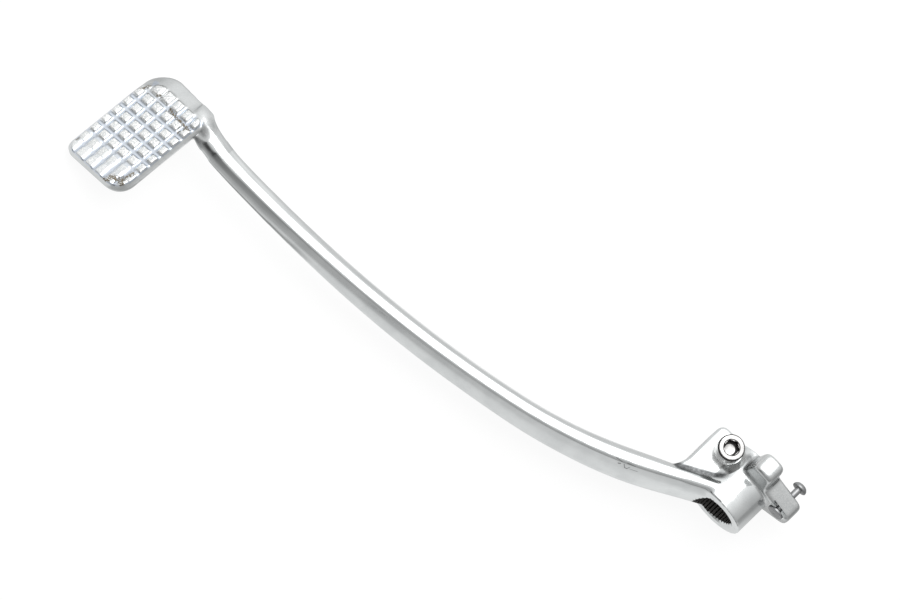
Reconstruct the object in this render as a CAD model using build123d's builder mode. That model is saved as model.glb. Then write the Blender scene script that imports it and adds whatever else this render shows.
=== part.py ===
from build123d import *
import os
from math import asin, cos, degrees, isclose, radians, sin, tan

# Motorcycle brake pedal: a chromed forging clamped on a serrated cross shaft.
# The origin is on the shaft's axis, at the hub's outer end. +Y runs along the shaft into
# the machine, +Z points to the side that the foot presses, and the arm runs along -X.

# Serrated bore for a 3/4 inch shaft
tooth_count = 36
serration_dia = 19.2        # across the tooth roots
tooth_depth = 0.55
tooth_half = 0.35           # half the width of a groove at the lands
bore_chamfer = 0.7

# Hub barrel
hub_dia = 28.0
hub_length = 27.2

# Pinch ears on the arm side of the barrel, parted by the slot
ear_reach = 23.7            # bore axis to the free edge
ear_face = 9.0              # bore axis to the face of either ear
slot_gap = 2.0
slot_start = 9.5            # the slot runs from here to the hub's inner end
ear_corner = 3.5
edge_round = 1.2

# Pinch screw, 5/16 inch socket head
screw_dia = 7.94
screw_clearance = 0.4       # on the diameter, in the front ear
thread_clearance = 0.02     # on the diameter, in the tapped rear ear
screw_length = 19.05
screw_reach = 14.0          # bore axis to screw axis
screw_inset = 7.4           # hub's inner end to screw axis
head_dia = 11.9
head_height = 7.94
head_edge = 0.5
spotface_dia = 12.7         # seat of the head, cut into the side of the barrel
hex_flats = 6.35
hex_depth = 4.2

# Rear lever with the stop lug, flush with the hub's inner end
lever_thickness = 10.0
lever_reach = 25.4
lever_top = 7.0             # height of the lever's top at its end
lever_bottom = -1.0
lug_height = 29.3
lug_width = 12.6            # at its foot
lug_offset = 2.8            # bore axis to the middle of the lug
lug_draft = 6.0             # degrees on each flank
lug_corner = 4.0
lever_shoulder = 13.9       # height of the lever's top where it leaves the lug
lever_web = 50.0            # degrees below +X where the lever's underside leaves the barrel
lever_top_corner = 3.0
lever_bottom_corner = 2.0
end_blend = 3.0             # hollow corners round the lug and the ears
ear_blend = 14.0            # hollow from the ears' free edge into the arm

# Spring post in the lever's end: turned disc head outside, mushroom head inside
post_dia = 3.1
post_clearance = 0.02
post_reach = 18.9           # bore axis to post axis
post_height = 4.6
post_stand = 4.6            # length of bare shank beyond the lever's inner face
disc_dia = 7.8
disc_thickness = 1.2
disc_gap = 1.1              # bare shank between the disc and the channel floor
mushroom_dia = 6.9
mushroom_height = 2.7
mushroom_round = 1.6
disc_round = 0.5
channel_width = 8.1
channel_depth = 1.8

# Reach of the whole pedal, from the shaft's axis to the middle of the tread
pedal_reach = 286.1

# Arm: plan centre line of two arcs and a straight run, in a tapered section
root_x = -35.9              # where the first arc leaves the hub's straight root
root_y = -12.05
short_radius = 231.5
short_turn = 14.6           # degrees
long_radius = 655.0
long_turn = 13.1
pad_gap = 24.1              # arm's end to the middle of the tread
arm_lift = 4.0              # how far the arm's middle plane rises at the pad
lift_share = 0.458          # share of the arm's reach where that rise starts
flat_half = 1.9             # half the flat along the top and the bottom
parting_half = 0.7          # half the land along the parting line
crease_out = 0.62           # crease on each flank: share of the way out from the flat
crease_up = 0.56            # and share of the half depth
flank_half = 3.9            # half width beside the hub, at the level of the ears' faces
ear_tail = 47.4             # bore axis to the tip of the ears' block, inside the arm
ear_heel = 35.5             # bore axis to where the block has its full depth in the arm
ear_root = 3.0              # that depth

# Pad
pad_tilt = 27.5             # degrees, front edge down
pad_turn = 4.5              # degrees in plan
pad_overhang = 19.3         # arm's centre line to the middle of the tread, outwards
pad_z = 0.2
tread_length = 33.0         # across the arm
tread_width = 48.0          # along the shaft's direction
pad_thickness = 6.6
pad_rim = 1.2               # width of the base beyond the tread, on three sides
pad_shoulder = 7.7          # the same on the inner side, where the arm comes in
shoulder_drop = 2.6
toe_outer_corner = 4.0
toe_inner_corner = 11.0
heel_outer_corner = 8.0
heel_inner_corner = 3.0
tread_crown = 0.35          # lean of the tread's own edges
tread_pitch = 6.15
groove_floor = 1.3
groove_depth = 1.15
groove_slope = 32.0         # degrees from upright
column_count = 5            # of grooves
row_count = 7

hub_radius = hub_dia / 2
root_radius = serration_dia / 2
tip_radius = root_radius - tooth_depth
lever_outer = hub_length - lever_thickness
screw_y = hub_length - screw_inset
channel_floor = lever_outer + channel_depth


def heading(angle):
    """Unit vector in plan, at an angle in degrees from +X."""
    return Vector(cos(radians(angle)), sin(radians(angle)), 0)


# Plan centre line of the arm: a straight run from the pad, then two arcs to the hub's root.
# Both arcs are laid back from the root.
pad_end_x = pad_gap - pedal_reach
full_turn = long_turn + short_turn
long_span = heading(long_turn - 90) * long_radius - heading(-90) * long_radius
short_span = heading(full_turn - 90) * short_radius - heading(long_turn - 90) * short_radius
root_point = Vector(root_x, root_y, 0)
root_heading = heading(full_turn)
arcs_meet = root_point - short_span
straight_end = arcs_meet - long_span


def arm_station(x):
    """Point and heading of the arm's centre line at a given X."""
    if x <= straight_end.X:
        return Vector(x, straight_end.Y, 0), Vector(1, 0, 0)
    if x <= arcs_meet.X:
        turn = asin((x - straight_end.X) / long_radius)
        return Vector(x, straight_end.Y + long_radius * (1 - cos(turn)), 0), heading(degrees(turn))
    if x <= root_point.X:
        base = radians(long_turn)
        turn = asin(sin(base) + (x - arcs_meet.X) / short_radius)
        y = arcs_meet.Y + short_radius * (cos(base) - cos(turn))
        return Vector(x, y, 0), heading(degrees(turn))
    run = (x - root_point.X) / root_heading.X
    return root_point + root_heading * run, root_heading


def lift_at(x):
    """Height of the arm's middle plane, level at both ends of the rise."""
    share = min(max((x / pad_end_x - lift_share) / (1 - lift_share), 0), 1)
    return arm_lift * share * share * (3 - 2 * share)


# Sections of the arm: share of its reach, half width, half depth, shift inwards, extra lift
arm_sections = [
    (1.0496, 6.0, 2.6, 5.2, -2.6),
    (1.0248, 6.3, 3.6, 3.8, -0.6),
    (1.0, 6.3, 4.2, 1.6, 0.0),
    (0.9542, 5.9, 4.4, 0.1, 0.0),
    (0.8588, 5.9, 5.2, 0.0, 0.0),
    (0.7252, 6.1, 7.2, 0.0, 0.0),
    (0.5725, 6.4, 8.8, 0.0, 0.0),
    (0.4198, 6.5, 9.9, 0.0, 0.0),
    (0.2672, 6.8, 11.6, 0.0, 0.0),
    (0.1336, 7.2, 13.0, 0.0, 0.0),
    (0.0534, 6.2, 13.5, 0.4, 0.0),
    (-0.0076, 5.4, 13.2, 0.7, 0.0),
]


def arm_outline(half_width, half_depth):
    """Corner points of the arm's section: flats, flanks with a crease, parting lands."""
    crease_x = flat_half + crease_out * (half_width - flat_half)
    crease_y = crease_up * half_depth
    quarter = [(flat_half, half_depth), (crease_x, crease_y), (half_width, parting_half)]
    right = quarter + [(x, -y) for x, y in reversed(quarter)]
    return right + [(-x, y) for x, y in reversed(right)]


with BuildPart() as arm:
    for share, half_width, half_depth, shift, extra in arm_sections:
        x = share * pad_end_x
        point, along = arm_station(x)
        across = Vector(-along.Y, along.X, 0)
        centre = point + across * shift + Vector(0, 0, lift_at(x) + extra)
        with BuildSketch(Plane(origin=centre, x_dir=across, z_dir=along)):
            with BuildLine():
                Polyline(arm_outline(half_width, half_depth), close=True)
            make_face()
    loft()

# The pad's own plane: x across the tread, away from the toe, y along the shaft's direction
tilt, turn = radians(pad_tilt), radians(pad_turn)
pad_plane = Plane(
    origin=(-pedal_reach, arm_station(pad_end_x)[0].Y - pad_overhang, pad_z),
    x_dir=(cos(turn) * cos(tilt), -sin(turn) * cos(tilt), sin(tilt)),
    z_dir=(-sin(tilt) * cos(turn), sin(tilt) * sin(turn), cos(tilt)),
)


def pad_outline(rim, shoulder):
    """Rounded outline of the tread, grown by a rim on three sides and by the shoulder."""
    half_x = tread_length / 2 + rim
    low_y = -tread_width / 2 - rim
    high_y = tread_width / 2 + shoulder
    with BuildSketch() as outline:
        with BuildLine():
            Polyline((-half_x, low_y), (half_x, low_y), (half_x, high_y), (-half_x, high_y), close=True)
        make_face()
        for x, y, radius in [
            (-half_x, low_y, toe_outer_corner + rim),
            (-half_x, high_y, toe_inner_corner + rim),
            (half_x, low_y, heel_outer_corner + rim),
            (half_x, high_y, heel_inner_corner),
        ]:
            fillet(outline.vertices().sort_by_distance((x, y))[0], radius)
    return outline.sketch


def groove_profiles(count):
    """Side by side groove profiles, open above the tread's face (y = 0)."""
    rise = 1.0
    top_half = groove_floor / 2 + (groove_depth + rise) * tan(radians(groove_slope))
    with BuildSketch() as profiles:
        with BuildLine():
            Polyline(
                (-groove_floor / 2, -groove_depth),
                (groove_floor / 2, -groove_depth),
                (top_half, rise),
                (-top_half, rise),
                close=True,
            )
        make_face()
    with BuildSketch() as row:
        with GridLocations(tread_pitch, 1, count, 1):
            add(profiles.sketch)
    return row.sketch


# The bumps stand on a plain base that slopes away into the shoulder on the inner side
bump_slope = groove_depth * tan(radians(groove_slope))
with BuildPart() as pad:
    for low, high, low_outline, high_outline in [
        (-pad_thickness, -groove_depth - shoulder_drop, (0, pad_shoulder - pad_rim), (pad_rim, pad_shoulder)),
        (-groove_depth - shoulder_drop, -groove_depth, (pad_rim, pad_shoulder), (pad_rim, bump_slope)),
        (-groove_depth, 0, (tread_crown, bump_slope), (0, 0)),
    ]:
        with BuildSketch(pad_plane.offset(low)):
            add(pad_outline(*low_outline))
        with BuildSketch(pad_plane.offset(high)):
            add(pad_outline(*high_outline))
        loft()
    along_rows = Plane(origin=pad_plane.origin, x_dir=pad_plane.y_dir, z_dir=pad_plane.x_dir)
    along_columns = Plane(origin=pad_plane.origin, x_dir=-pad_plane.x_dir, z_dir=pad_plane.y_dir)
    for plane, count in [(along_rows, row_count), (along_columns, column_count)]:
        with BuildSketch(plane):
            add(groove_profiles(count))
        extrude(amount=tread_width, both=True, mode=Mode.SUBTRACT)

# Inner end of the hub: barrel, ears, lever and stop lug share one flat end face
lug_foot_half = lug_width / 2
lug_crown_half = lug_foot_half - (lug_height - hub_radius) * tan(radians(lug_draft))
lug_base_half = lug_foot_half + hub_radius * tan(radians(lug_draft))
web_angle = radians(lever_web)

with BuildSketch(Plane.XZ.offset(-hub_length)) as end_outline:
    Circle(hub_radius)
    with BuildLine():
        Polyline(
            (lug_offset - lug_base_half, 0),
            (lug_offset - lug_crown_half, lug_height),
            (lug_offset + lug_crown_half, lug_height),
            (lug_offset + lug_foot_half, lever_shoulder),
            (lever_reach, lever_top),
            (lever_reach, lever_bottom),
            (hub_radius * cos(web_angle), -hub_radius * sin(web_angle)),
            (0, 0),
            close=True,
        )
    make_face()
    for x, z, radius in [
        (lug_offset - lug_crown_half, lug_height, lug_corner),
        (lug_offset + lug_crown_half, lug_height, lug_corner),
        (lug_offset - lug_foot_half, hub_radius, end_blend),
        (lug_offset + lug_foot_half, lever_shoulder, end_blend),
        (lever_reach, lever_top, lever_top_corner),
        (lever_reach, lever_bottom, lever_bottom_corner),
    ]:
        fillet(end_outline.vertices().sort_by_distance((x, z))[0], radius)

# Plan of the ears: the free edge runs into the arm's flank in one hollow
root_across = Vector(-root_heading.Y, root_heading.X, 0)
flank_point = root_point + root_across * flank_half


def flank_y(x):
    """Y of the arm's inner flank, at the level of the ears' faces, near the hub."""
    return flank_point.Y + (x - flank_point.X) * root_heading.Y / root_heading.X


with BuildSketch(Plane.XY.offset(-ear_face)) as ear_outline:
    with BuildLine():
        Polyline(
            (0, hub_length),
            (-ear_reach, hub_length),
            (-ear_reach, flank_y(-ear_reach)),
            (-ear_tail, flank_y(-ear_tail)),
            (-ear_heel, flank_y(-ear_heel) - ear_root),
            (0, flank_y(0) - ear_root),
            close=True,
        )
    make_face()
    fillet(ear_outline.vertices().sort_by_distance((-ear_reach, hub_length))[0], ear_corner)
    fillet(ear_outline.vertices().sort_by_distance((-ear_reach, flank_y(-ear_reach)))[0], ear_blend)


def is_mouth(edge):
    """True for the bore's edges."""
    return edge.geom_type == GeomType.CIRCLE and isclose(edge.radius, tip_radius)


with BuildPart() as hub:
    with BuildSketch(Plane.XZ):
        Circle(hub_radius)
    extrude(amount=-lever_outer)
    extrude(end_outline.sketch, amount=lever_thickness, dir=(0, -1, 0))
    extrude(ear_outline.sketch, amount=2 * ear_face, dir=(0, 0, 1))
    end_rim = hub.faces().filter_by(Axis.Y).sort_by(Axis.Y)[-1].outer_wire().edges()
    ear_rims = hub.edges().filter_by(Axis.Y).group_by(Axis.X)[0]
    fillet(end_rim + ear_rims, edge_round)
    with Locations(Plane.XZ):
        Cylinder(tip_radius, hub_length, align=(Align.CENTER, Align.CENTER, Align.MAX), mode=Mode.SUBTRACT)
    chamfer(hub.edges().filter_by(is_mouth), bore_chamfer + tooth_depth)


def screw_plane(height):
    """Plane square to the pinch screw, at a height above the bore axis."""
    return Plane(origin=(-screw_reach, screw_y, height))


# Square to the spring post, at the hub's outer end
post_plane = Plane(origin=(post_reach, 0, post_height), x_dir=(1, 0, 0), z_dir=(0, -1, 0))

with BuildPart() as pedal_forging:
    add(hub.part)
    add(arm.part)
    add(pad.part)

    # Bore, with the serrations as V grooves between flat-topped lands
    with BuildSketch(Plane.XZ.offset(-hub_length)) as bore:
        Circle(tip_radius)
        with PolarLocations(0, tooth_count):
            with BuildLine():
                Polyline(
                    (tip_radius - tooth_depth, -tooth_half),
                    (tip_radius, -tooth_half),
                    (root_radius, 0),
                    (tip_radius, tooth_half),
                    (tip_radius - tooth_depth, tooth_half),
                    close=True,
                )
            make_face()
    extrude(amount=2 * hub_length, mode=Mode.SUBTRACT)

    # Slot between the ears, and the pinch screw's hole: clear in front, tapped behind
    slot_length = hub_length - slot_start
    with Locations((-ear_reach, slot_start + slot_length, 0)):
        Box(2 * ear_reach, 2 * slot_length, slot_gap, mode=Mode.SUBTRACT)
    with BuildSketch(screw_plane(0)):
        Circle((screw_dia + screw_clearance) / 2)
    extrude(amount=hub_radius, mode=Mode.SUBTRACT)
    with BuildSketch(screw_plane(0)):
        Circle((screw_dia + thread_clearance) / 2)
    extrude(amount=-hub_radius, mode=Mode.SUBTRACT)
    with BuildSketch(screw_plane(ear_face)):
        Circle(spotface_dia / 2)
    extrude(amount=hub_radius, mode=Mode.SUBTRACT)

    # Spring post's hole, and the channel that its disc head stands in
    with BuildSketch(post_plane.offset(-hub_length)):
        Circle((post_dia + post_clearance) / 2)
    extrude(amount=lever_thickness, mode=Mode.SUBTRACT)
    with BuildSketch(post_plane.offset(-channel_floor)):
        Circle(channel_width / 2)
        with Locations((0, lug_height / 2)):
            Rectangle(channel_width, lug_height)
    extrude(amount=2 * channel_depth, mode=Mode.SUBTRACT)

with BuildPart() as pinch_screw:
    with BuildSketch(screw_plane(ear_face)):
        Circle(head_dia / 2)
    extrude(amount=head_height)
    chamfer(pinch_screw.edges().sort_by(Axis.Z)[-1], head_edge)
    with BuildSketch(screw_plane(ear_face)):
        Circle(screw_dia / 2)
    extrude(amount=-screw_length)
    chamfer(pinch_screw.edges().sort_by(Axis.Z)[0], head_edge)
    with BuildSketch(screw_plane(ear_face + head_height)):
        RegularPolygon(hex_flats / 2, 6, major_radius=False)
    extrude(amount=-hex_depth, mode=Mode.SUBTRACT)

# Spring post, turned about its own axis: radius along x, distance along the shank up y
disc_outer = channel_floor - disc_gap - disc_thickness
with BuildPart() as spring_post:
    with BuildSketch(Plane(origin=(post_reach, 0, post_height), x_dir=(1, 0, 0), z_dir=(0, 0, 1))):
        with Locations((0, disc_outer)):
            Rectangle(disc_dia / 2, disc_thickness, align=Align.MIN)
        with Locations((0, disc_outer)):
            Rectangle(post_dia / 2, hub_length + post_stand - disc_outer, align=Align.MIN)
        with Locations((0, hub_length + post_stand)):
            Rectangle(mushroom_dia / 2, mushroom_height, align=Align.MIN)
    revolve(axis=Axis((post_reach, 0, post_height), (0, 1, 0)))
    fillet(spring_post.edges().sort_by(Axis.Y)[-1], mushroom_round)
    fillet(spring_post.edges().sort_by(Axis.Y)[0], disc_round)

pedal_forging.part.label = "pedal_forging"
pinch_screw.part.label = "pinch_screw"
spring_post.part.label = "spring_post"
os.makedirs("parts", exist_ok=True)
export_step(pedal_forging.part, "parts/pedal_forging.step")
export_step(pinch_screw.part, "parts/pinch_screw.step")
export_step(spring_post.part, "parts/spring_post.step")
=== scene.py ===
from math import asin, ceil, cos, pi, radians, sin, sqrt, tan

import bmesh
import bpy
from mathutils import Matrix, Vector


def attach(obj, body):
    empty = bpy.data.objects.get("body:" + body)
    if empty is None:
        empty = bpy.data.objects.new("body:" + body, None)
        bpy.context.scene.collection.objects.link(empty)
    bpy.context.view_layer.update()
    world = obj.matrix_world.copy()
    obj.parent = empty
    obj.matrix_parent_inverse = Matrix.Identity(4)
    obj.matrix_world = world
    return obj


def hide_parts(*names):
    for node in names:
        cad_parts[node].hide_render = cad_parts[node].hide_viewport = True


# Motorcycle brake pedal: a chromed forging with a worn tread, a plated pinch screw and a
# turned post for the return spring.
# Shapes are built in millimetres and brought to metres by finished(). The frame is the part's
# own: +Y along the shaft into the machine, +Z to the foot's side, the arm along -X.

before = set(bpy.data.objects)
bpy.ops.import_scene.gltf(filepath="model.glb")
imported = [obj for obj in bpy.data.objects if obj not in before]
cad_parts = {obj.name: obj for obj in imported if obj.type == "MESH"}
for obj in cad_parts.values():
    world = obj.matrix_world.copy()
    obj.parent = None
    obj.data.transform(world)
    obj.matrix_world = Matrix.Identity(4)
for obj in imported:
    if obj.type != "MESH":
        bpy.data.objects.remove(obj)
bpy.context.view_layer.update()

# Skin drawn over the forging's solids
GRAIN = 0.4              # size of its faces on the arm and the hub
FINE_GRAIN = 0.29        # and on the pad
HUB_CUT = -46.0          # X where the arm's skin passes into the hub's
HUB_LAP = 2.0            # how far past that cut the hub is worked
PAD_CUT = -252.0         # X where the arm's skin passes into the pad's
PAD_LAP = 8.0            # how far past that cut the pad is worked
PAD_ROOT = -264.0        # X where the pad is parted from the part's own solid
PAD_EDGE = -262.0        # X that the tread and its rim don't reach

# Hub and its serrated bore
HUB_RADIUS = 14.0
HUB_LENGTH = 27.2
TIP_RADIUS = 9.05        # bore at the lands between the serrations
ROOT_RADIUS = 9.6        # and at the bottom of them
TOOTH_COUNT = 36
TOOTH_HALF = 0.35        # half the width of a serration at the lands

# Pinch ears, parted by the slot
EAR_REACH = 23.7         # bore axis to the free edge
EAR_FACE = 9.0           # bore axis to the face of either ear
EAR_ROOT = 3.0           # depth of their block inside the arm
EAR_CORNER = 3.5         # rounding of their corner
EAR_BLEND = 8.0          # hollow from their free edge into the arm
EAR_RIM = 2.0            # rounding of their rims
FLANK_HALF = 4.3         # arm's centre line to its inner flank, at the level of the ears' faces
SLOT_START = 9.5         # the slot runs from here to the hub's inner end
SLOT_HALF = 1.0

# Pinch screw
SCREW_X, SCREW_Y = -14.0, 19.8
SCREW_RADIUS = 3.97
SCREW_END = -10.05
HEAD_RADIUS = 5.95
HEAD_HEIGHT = 7.94
HEX_FLATS = 6.35
HEX_REACH = HEX_FLATS / cos(pi / 6) / 2  # screw's axis to the hexagon's corners
HEX_DEPTH = 4.2
SPOTFACE_RADIUS = 6.35   # seat of the head, cut into the side of the barrel
EAR_CLEARANCE = 0.2      # round the screw in the front ear
FIT_CLEARANCE = 0.01     # round the screw's thread and the post's shank

# Rear lever and stop lug: x, z and rounding of each corner, seen along the shaft
LEVER_OUTER = 17.2       # the lever runs from here to the hub's inner end
LEVER_RIM = 1.7          # rounding of its rims
LEVER_OUTLINE = [
    (-4.98, 0, 0),
    (-3.72, 12.0, 0),
    (-1.9, 29.3, 3.4),   # lug's crown
    (8.4, 29.3, 3.4),
    (9.4, 13.9, 1.6),    # lug's foot on the lever
    (25.4, 7.0, 2.6),    # lever's end
    (25.4, -1.0, 2.0),
    (9.0, -10.7, 0),     # web under the lever
    (0, 0, 0),
]

# Spring post, with its disc head in a channel of the lever's outer face
POST_X, POST_Z = 18.9, 4.6
POST_RADIUS = 1.55
POST_STAND = 4.6         # bare shank beyond the lever's inner face
MUSHROOM_RADIUS = 3.45
DISC_RADIUS = 3.9
DISC_OUTER, DISC_INNER = 16.7, 17.9      # its faces, along the shaft
CHANNEL_RADIUS = 4.05
CHANNEL_START, CHANNEL_FLOOR = 15.4, 19.0

# Turns an outline's Z onto the shaft's +Y, keeping its x along X and its y along Z
ALONG_SHAFT = Matrix(((1, 0, 0, 0), (0, 0, 1, 0), (0, 1, 0, 0), (0, 0, 0, 1)))
AT_SCREW = Matrix.Translation((SCREW_X, SCREW_Y, 0))
AT_POST = ALONG_SHAFT @ Matrix.Translation((POST_X, POST_Z, 0))

# Arm's centre line in plan: a straight run from the pad, then two arcs to the hub's root
STRAIGHT_END_X, STRAIGHT_Y = -239.5, -49.6
LONG_RADIUS, LONG_TURN = 655.0, radians(13.1)
SHORT_RADIUS, SHORT_TURN = 231.5, radians(14.6)
FULL_TURN = LONG_TURN + SHORT_TURN
ARCS_MEET_X = STRAIGHT_END_X + LONG_RADIUS * sin(LONG_TURN)
ARCS_MEET_Y = STRAIGHT_Y + LONG_RADIUS * (1 - cos(LONG_TURN))
ROOT_X = ARCS_MEET_X + SHORT_RADIUS * (sin(FULL_TURN) - sin(LONG_TURN))
ROOT_Y = ARCS_MEET_Y + SHORT_RADIUS * (cos(LONG_TURN) - cos(FULL_TURN))

# Arm: X, half width, half depth, shift to the inner side, extra lift
ARM_STATIONS = [
    (-275.0, 6.0, 2.6, 5.2, -2.6),
    (-268.5, 6.3, 3.6, 3.8, -0.6),
    (-262.0, 6.3, 4.2, 1.6, 0.0),
    (-250.0, 5.9, 4.4, 0.1, 0.0),
    (-225.0, 5.9, 5.2, 0.0, 0.0),
    (-190.0, 6.1, 7.2, 0.0, 0.0),
    (-150.0, 6.4, 8.8, 0.0, 0.0),
    (-110.0, 6.5, 9.9, 0.0, 0.0),
    (-70.0, 6.8, 11.6, 0.0, 0.0),
    (-35.0, 7.2, 13.0, 0.0, 0.0),
    (-14.0, 6.2, 13.5, 0.4, 0.0),
    (2.0, 5.4, 13.2, 0.7, 0.0),
]
ARM_STEPS = 138          # lengths that the arm is drawn in
ARM_LIFT = 4.0           # how far the arm's middle plane rises towards the pad
LIFT_START, LIFT_END = 120.0, 262.0      # between these distances ahead of the shaft

# Quarter of the arm's section: shares of its half width and half depth, and rounding, at the
# top's flat, the flank's crease and the parting line's land
ARM_QUARTER = [(0.30, 1.0, 0.07), (0.735, 0.56, 0.16), (1.0, 0.08, 0.05)]

# Where the arm's centre line enters the pad
ARM_END = Vector((-264.0, -49.6, 3.0))

# The pad's own plane: across the tread, along the shaft's direction, square to its face
PAD_TILT, PAD_TURN = radians(27.5), radians(4.5)
PAD_X = Vector((cos(PAD_TURN) * cos(PAD_TILT), -sin(PAD_TURN) * cos(PAD_TILT), sin(PAD_TILT)))
PAD_Z = Vector((-sin(PAD_TILT) * cos(PAD_TURN), sin(PAD_TILT) * sin(PAD_TURN), cos(PAD_TILT)))
PAD_Y = PAD_Z.cross(PAD_X)
PAD_CENTRE = Vector((-286.1, -68.9, 0.2))
TOE_LIMIT = -302.75      # X that the pad's toe side doesn't pass

# Tread. Its heights are taken from the unworn tops of its bumps.
TREAD_HALF_X, TREAD_HALF_Y = 16.5, 24.0
TREAD_CORNERS = {(False, False): 4, (True, False): 8, (False, True): 11, (True, True): 3}
TREAD_PITCH = 6.15
TREAD_FLOOR = -1.15      # floor of the grooves
RIM_FOOT = -3.7          # where the rim's slope ends on the side wall


# Shapes of any piece

def mesh_object(name, bm):
    """Object, still in millimetres, holding a bmesh."""
    mesh = bpy.data.meshes.new(name)
    bm.to_mesh(mesh)
    bm.free()
    made = bpy.data.objects.new(name, mesh)
    bpy.context.scene.collection.objects.link(made)
    return made


def with_modifiers(source):
    """Bmesh of an object as its modifiers leave it; the object itself is removed."""
    depsgraph = bpy.context.evaluated_depsgraph_get()
    mesh = bpy.data.meshes.new_from_object(source.evaluated_get(depsgraph))
    bm = bmesh.new()
    bm.from_mesh(mesh)
    bpy.data.objects.remove(source)
    bpy.data.meshes.remove(mesh)
    return bm


def outline(bm, corners):
    """Flat face through corners (x, y, length of the corner's rounding along its sides)."""
    points = [bm.verts.new((x, y, 0)) for x, y, reach in corners]
    bm.faces.new(points)
    for point, (x, y, reach) in zip(points, corners):
        if reach:
            bmesh.ops.bevel(bm, geom=[point], offset=reach, affect="VERTICES", segments=12,
                            profile=0.5, material=-1)


def prism(corners, low, high, place=Matrix()):
    """Bmesh of a rounded outline between two heights, then put in its place."""
    bm = bmesh.new()
    outline(bm, corners)
    raised = bmesh.ops.extrude_face_region(bm, geom=bm.faces[:])["geom"]
    raised = [item for item in raised if isinstance(item, bmesh.types.BMVert)]
    bmesh.ops.translate(bm, verts=raised, vec=(0, 0, high - low))
    bmesh.ops.translate(bm, verts=bm.verts, vec=(0, 0, low))
    bmesh.ops.transform(bm, verts=bm.verts, matrix=place)
    bmesh.ops.recalc_face_normals(bm, faces=bm.faces)
    return bm


def rod(radius, low, high, place=Matrix(), segments=160):
    """Bmesh of a round bar along Z between two heights, then put in its place."""
    bm = bmesh.new()
    bmesh.ops.create_cone(bm, cap_ends=True, segments=segments, radius1=radius, radius2=radius,
                          depth=high - low, matrix=Matrix.Translation((0, 0, (low + high) / 2)))
    bmesh.ops.transform(bm, verts=bm.verts, matrix=place)
    return bm


def spun(profile, place, segments=96):
    """Bmesh turned about Z from a profile (radius, height, rounding) that begins and ends on
    the axis."""
    bm = bmesh.new()
    points = [bm.verts.new((radius, 0, height)) for radius, height, reach in profile]
    for a, b in zip(points, points[1:]):
        bm.edges.new((a, b))
    for point, (radius, height, reach) in zip(points, profile):
        if reach:
            bmesh.ops.bevel(bm, geom=[point], offset=reach, affect="VERTICES", segments=5,
                            profile=0.5, material=-1)
    bmesh.ops.spin(bm, geom=bm.verts[:] + bm.edges[:], cent=(0, 0, 0), axis=(0, 0, 1),
                   angle=2 * pi, steps=segments, use_merge=True)
    bmesh.ops.remove_doubles(bm, verts=bm.verts, dist=0.0005)
    bmesh.ops.transform(bm, verts=bm.verts, matrix=place)
    bmesh.ops.recalc_face_normals(bm, faces=bm.faces)
    return bm


def round_rims(bm, offset):
    """Rounds the edges of both faces of a plate that lies flat."""
    rims = [edge for edge in bm.edges if abs(edge.verts[0].co.z - edge.verts[1].co.z) < 0.01]
    bmesh.ops.bevel(bm, geom=rims, offset=offset, affect="EDGES", segments=6, profile=0.5,
                    material=-1)


def joined(parts):
    """One bmesh holding several, which may pass through each other."""
    whole = bmesh.new()
    for part in parts:
        mesh = bpy.data.meshes.new("joined")
        part.to_mesh(mesh)
        part.free()
        whole.from_mesh(mesh)
        bpy.data.meshes.remove(mesh)
    return whole


def trim(bm, x, side):
    """Cuts a bmesh at an X plane and drops what lies beyond it, on the plane's + or - side."""
    everything = bm.verts[:] + bm.edges[:] + bm.faces[:]
    bmesh.ops.bisect_plane(bm, geom=everything, plane_co=(x, 0, 0), plane_no=(side, 0, 0),
                           clear_outer=True)


def close_cuts(bm):
    """Closes each open cut with a flat face."""
    bmesh.ops.holes_fill(bm, edges=[edge for edge in bm.edges if edge.is_boundary])


def part_of(skin, low, high):
    """Bmesh of the skin between two X planes, either of which may be None."""
    bm = skin.copy()
    for x, side in [(low, -1), (high, 1)]:
        if x is not None:
            trim(bm, x, side)
    return bm


def cut_away(body, cutter):
    """Bmesh of one closed body less another."""
    target, tool = mesh_object("body", body), mesh_object("cutter", cutter)
    modifier = target.modifiers.new("cut", "BOOLEAN")
    modifier.operation = "DIFFERENCE"
    modifier.solver = "EXACT"
    modifier.object = tool
    result = with_modifiers(target)
    bpy.data.objects.remove(tool)
    return result


def skinned(solids, grain):
    """Bmesh of one closed skin over solids that pass through each other."""
    skin = mesh_object("skin", solids)
    remesh = skin.modifiers.new("skin", "REMESH")
    remesh.mode = "VOXEL"
    remesh.voxel_size = grain
    remesh.use_smooth_shade = True
    return with_modifiers(skin)


def shade_faces(bm, chosen):
    """Gives the second of a piece's materials to the faces whose centre and normal are chosen."""
    for face in bm.faces:
        face.material_index = 1 if chosen(face.calc_center_median(), face.normal) else 0


def finished(name, bm, materials, node, crease_degrees):
    """Makes a piece in metres, smooth except across its sharp edges, riding on the part."""
    bmesh.ops.scale(bm, verts=bm.verts, vec=(0.001, 0.001, 0.001))
    piece = mesh_object(name, bm)
    piece.data.shade_smooth()
    piece.data.set_sharp_from_angle(angle=radians(crease_degrees))
    for material in materials:
        piece.data.materials.append(material)
    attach(piece, "root")
    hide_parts(node)


def eased(value, low, high):
    """Share from 0 to 1 of the way that a value has gone from low to high."""
    return min(max((value - low) / (high - low), 0), 1)


def stroke_distance(place, start, end):
    """Distance from a place to a straight stroke, in a plane or in space."""
    place, start, end = Vector(place), Vector(start), Vector(end)
    along = end - start
    share = eased((place - start).dot(along), 0, along.length_squared)
    return (place - start - along * share).length


# Forging: its solids

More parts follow.
